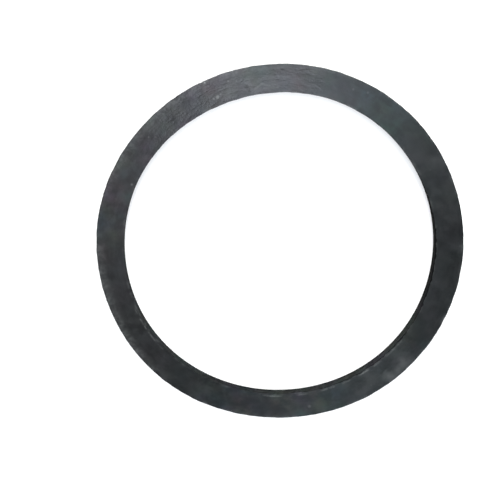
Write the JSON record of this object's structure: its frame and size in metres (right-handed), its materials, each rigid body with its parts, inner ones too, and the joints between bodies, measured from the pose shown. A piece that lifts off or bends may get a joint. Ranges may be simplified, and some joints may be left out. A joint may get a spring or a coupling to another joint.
{
  "type": "rubber sealing ring",
  "caption": "Flat moulded rubber ring of rectangular section with trimmed flash on its upper edges; lies round a pipe end or spigot and seals between two flat faces.",
  "frame": {"origin": "centre of the bore in the plane of the lower face", "axes": "+Z along the axis of the bore, from the lower face to the upper face; +X and +Y lie across the ring"},
  "size_m": [0.2106, 0.2106, 0.007],
  "materials": {
    "black_rubber": "dull moulded black rubber, clouded with grey bloom"
  },
  "bodies": {
    "root": {"rubber_ring": "black_rubber"}
  },
  "joints": []
}
